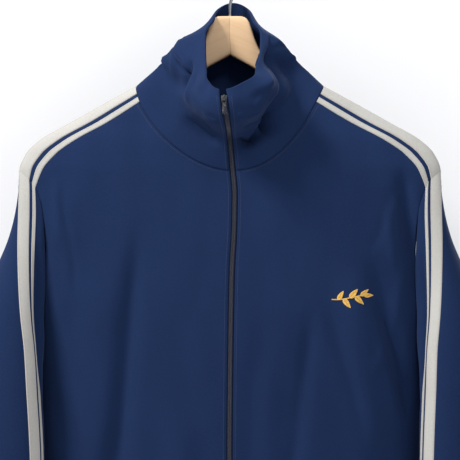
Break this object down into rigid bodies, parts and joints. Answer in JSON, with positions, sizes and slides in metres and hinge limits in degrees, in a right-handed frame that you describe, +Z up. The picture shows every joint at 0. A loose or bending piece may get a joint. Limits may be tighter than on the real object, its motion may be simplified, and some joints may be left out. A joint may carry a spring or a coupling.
{
  "type": "track jacket on a wooden hanger",
  "caption": "Knitted zip-front track jacket with a tall stand collar, pale shoulder and sleeve tapes, rib hem and cuffs, hanging on a contoured wooden hanger with a wire hook.",
  "frame": {"origin": "inside top of the hanger's hook, where it bears on a rail", "axes": "+X to the right of someone facing the jacket's front, +Y to its back, +Z up"},
  "size_m": [0.6316, 0.1565, 0.8513],
  "materials": {
    "navy_knit": "smooth matte double knit",
    "navy_rib": "matte rib knit",
    "pale_tape": "matte knitted tape",
    "zip_cloth": "woven zip tape",
    "zip_chain": "dark coil",
    "zip_metal": "dark satin enamel",
    "hanger_wood": "clear satin lacquer",
    "hook_steel": "plated wire"
  },
  "bodies": {
    "jacket": {"front_right": "navy_knit", "front_left": "navy_knit", "back": "navy_knit", "sleeve_right": "navy_knit", "sleeve_left": "navy_knit", "collar": "navy_knit", "hem_band": "navy_rib", "cuff_right": "navy_rib", "cuff_left": "navy_rib", "shoulder_tape_broad_right": "pale_tape", "shoulder_tape_broad_left": "pale_tape", "shoulder_tape_narrow_right": "pale_tape", "shoulder_tape_narrow_left": "pale_tape", "sleeve_tape_broad_right": "pale_tape", "sleeve_tape_broad_left": "pale_tape", "sleeve_tape_narrow_right": "pale_tape", "sleeve_tape_narrow_left": "pale_tape", "zip_tape": "zip_cloth", "zip_chain": "zip_chain", "zip_slider": "zip_metal", "hanger": "hanger_wood", "hanger_hook": "hook_steel"},
    "pull_tab": {"pull_tab": "zip_metal"}
  },
  "joints": [
    {"name": "pull_tab_hinge", "type": "hinge", "parent": "jacket", "child": "pull_tab", "pos_m": [-0.00632, -0.1025, -0.16111], "axis": [-1, 0, 0], "range_deg": [0, 150]}
  ]
}
